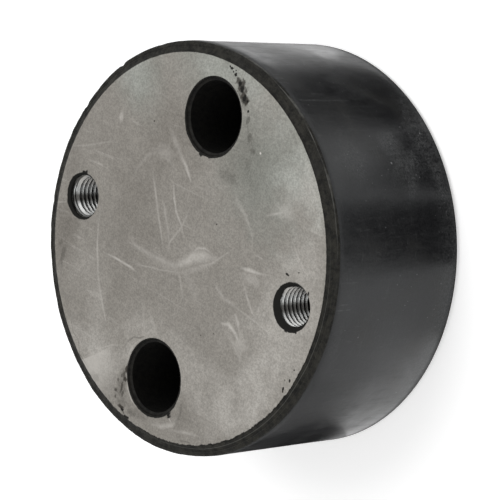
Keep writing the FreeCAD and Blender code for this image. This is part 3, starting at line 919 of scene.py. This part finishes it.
def makeCutFinish(name, trimmed=False):
    look = cutLook
    gloss, roughest, smoothest, pitted, share = look[name]
    finish, shader, where = newFinish(name)
    grained = grainAt(where, *look["grain"])
    chewed = cloud(where, *look["chewedNoise"])
    tone = blend(ramp(chewed, *look["chewedRange"]), look["chewed"], look["trimmed"])
    worn = ramp(grained["Patches"], *look["wornRange"], look["wornShare"] * share)
    tone = blend(worn, tone, look["worn"])
    # painted shade: the linings and the bores are darkened towards near black, most deeply in the bores
    tone = blend(1 - share, tone, look["paintedShade"])
    if trimmed:
        # knife lines, and the painted highlight on the rim's outer edge
        tone = blend(rimLinesAndHighlight(where), tone, look["paleLinesAndHighlight"])
    rough = ramp(chewed, 0.3, 0.7, roughest, smoothest)
    height = plus(times(chewed, pitted), grained["Height"])
    dress(shader, tone, rough, gloss, height, look["bumps"])
    return finish


steelFace = makeSteelFinish("blastedSteel", True, 0.0)
steelBack = makeSteelFinish("blastedSteelBack", False, 0.31)
wallRubber = makeWallFinish()
rimRubber = makeCutFinish("trimmedRubber", trimmed=True)
liningRubber = makeCutFinish("liningRubber")
boreRubber = makeCutFinish("boreRubber")


def wear(piece, *finishes):
    piece.data.materials.clear()
    for finish in finishes:
        piece.data.materials.append(finish)


wear(frontPlate, steelFace)
wear(rubberBlock, wallRubber, rimRubber, boreRubber)
for face in rubberBlock.data.polygons:
    x, y, z = face.center / mm
    r = math.hypot(x, y)
    if abs(z - rubberSize["height"] / 2) > rubberSize["rimAway"] and r > rubberSize["rimFrom"]:
        face.material_index = 1  # touched by the knife: both rims, not the wall
    elif r < rubberSize["boreWithin"]:
        face.material_index = 2
for lining in linings:
    wear(lining, liningRubber, boreRubber)
    for face in lining.data.polygons:
        if face.center.z < rubberSize["boreTop"] * mm:
            face.material_index = 1
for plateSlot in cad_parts["back_plate"].material_slots:
    plateSlot.material = steelBack
print("finishes assigned")

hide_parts("front_plate")
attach(frontPlate, "root")
for piece in [rubberBlock] + linings:
    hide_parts("rubber_body")
    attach(piece, "root")

# floor, soft lamps and the sky
studio = {
    "floorSize": 6.0, "floorDrop": 0.0002, "floorColour": (0.80, 0.80, 0.80, 1), "floorLift": 0.42, "sky": 0.55,
    # name, place, aim, width and power of each lamp
    "lamps": (("keyLamp", (-0.5, 0.7, 1.5), (0, 0, 0.03), 1.4, 16),
              ("sideLamp", (1.3, -0.5, 1.1), (0, 0, 0.03), 1.2, 9)),
    # dark and glowing cards lying near the block, seen only in its gloss, where they paint dark and bright reflections
    # on the rubber wall: tone, how far out it fades, and corners on the floor in mm
    "cards": ((0, 0, (73.5, 18.6), (160, 28), (122, 98), (63.6, 41.4)),
     (0, 0, (44, 63), (50, 150), (-75, 130), (12, 77)), (0, 0, (63, -62), (44, -160), (-90, -140), (-20, -88)),
     (0, 0, (63.6, 41.4), (82, 74), (48, 80), (44, 63)), (.4, 0, (86, -60), (125, -80), (63, -150), (56, -74)),
     (.5, 0, (126, -12), (200, -30), (150, -140), (108, -76)), (1.9, 110, (77, -8), (100, -54), (54, -72), (42, -62)),
     (2, 0, (-4, 77.5), (-40, 112), (-68, 92), (-14, 76))),
    "cardLift": 0.3, "cardStep": 0.02, "fadeFrom": 77, "fadeTone": 0.35,
}


def rayMask():  # 1 where the floor or sky is seen directly, in gloss or through glass
    path = addNode("LightPath").outputs
    return most(most(path["Is Camera Ray"], path["Is Glossy Ray"]), path["Is Transmission Ray"])


def addSheet(name, size, height):
    startClean()
    bpy.ops.mesh.primitive_plane_add(size=size, location=(0, 0, height))
    sheet = bpy.context.object
    sheet.name = name
    return sheet


def addFloor():
    floor = addSheet("studioFloor", studio["floorSize"], -studio["floorDrop"])
    paper = emptyMaterial("paleFloor")
    matte = addNode("BsdfDiffuse", Color=studio["floorColour"])
    glow = addNode("Emission", Strength=times(rayMask(), studio["floorLift"]))
    both = addNode("AddShader")
    put(matte.outputs[0], both.inputs[0])
    put(glow.outputs[0], both.inputs[1])
    addNode("OutputMaterial", Surface=both.outputs[0])
    floor.data.materials.append(paper)


def addCard(number, tone, fadeAt, corners):
    card = addSheet("reflectionCard" + str(number), 1, 0)
    height = (studio["cardLift"] + studio["cardStep"] * number) * mm
    for index, (x, y) in zip((0, 1, 3, 2), corners):  # the plane's own corner order
        card.data.vertices[index].co = (x * mm, y * mm, height)
    surface = emptyMaterial(card.name)
    if fadeAt:  # brightest at the wall
        out = vecCalc("LENGTH", addNode("TexCoord").outputs["Object"])
        tone = ramp(out, studio["fadeFrom"] * mm, fadeAt * mm, tone, studio["fadeTone"])
    # a dark or glowing sheet seen only in reflections: it paints reflections on the rubber wall
    addNode("OutputMaterial", Surface=addNode("Emission", Strength=tone).outputs[0])
    card.data.materials.append(surface)
    card.visible_camera = card.visible_diffuse = card.visible_shadow = card.visible_transmission = False


def addLamps():
    for name, spotAt, aim, wide, power in studio["lamps"]:
        startClean()
        bpy.ops.object.light_add(type="AREA", location=spotAt)
        lamp = bpy.context.object
        lamp.name = name
        lamp.rotation_euler = (Vector(aim) - Vector(spotAt)).to_track_quat("-Z", "Y").to_euler()
        lamp.data.shape = "DISK"
        lamp.data.size = wide
        lamp.data.energy = power


def addSky():
    sky = bpy.data.worlds.new("studioSky")
    bpy.context.scene.world = sky
    sky.use_nodes = True
    drawing["tree"] = sky.node_tree
    back = sky.node_tree.nodes["Background"]
    back.inputs["Color"].default_value = (1, 1, 1, 1)
    put(most(rayMask(), studio["sky"]), back.inputs["Strength"])


addFloor()
for number, (tone, fadeAt, *corners) in enumerate(studio["cards"], 1):
    addCard(number, tone, fadeAt, corners)
addLamps()
addSky()
bpy.context.scene.view_settings.view_transform = "Standard"
print("studio lit")
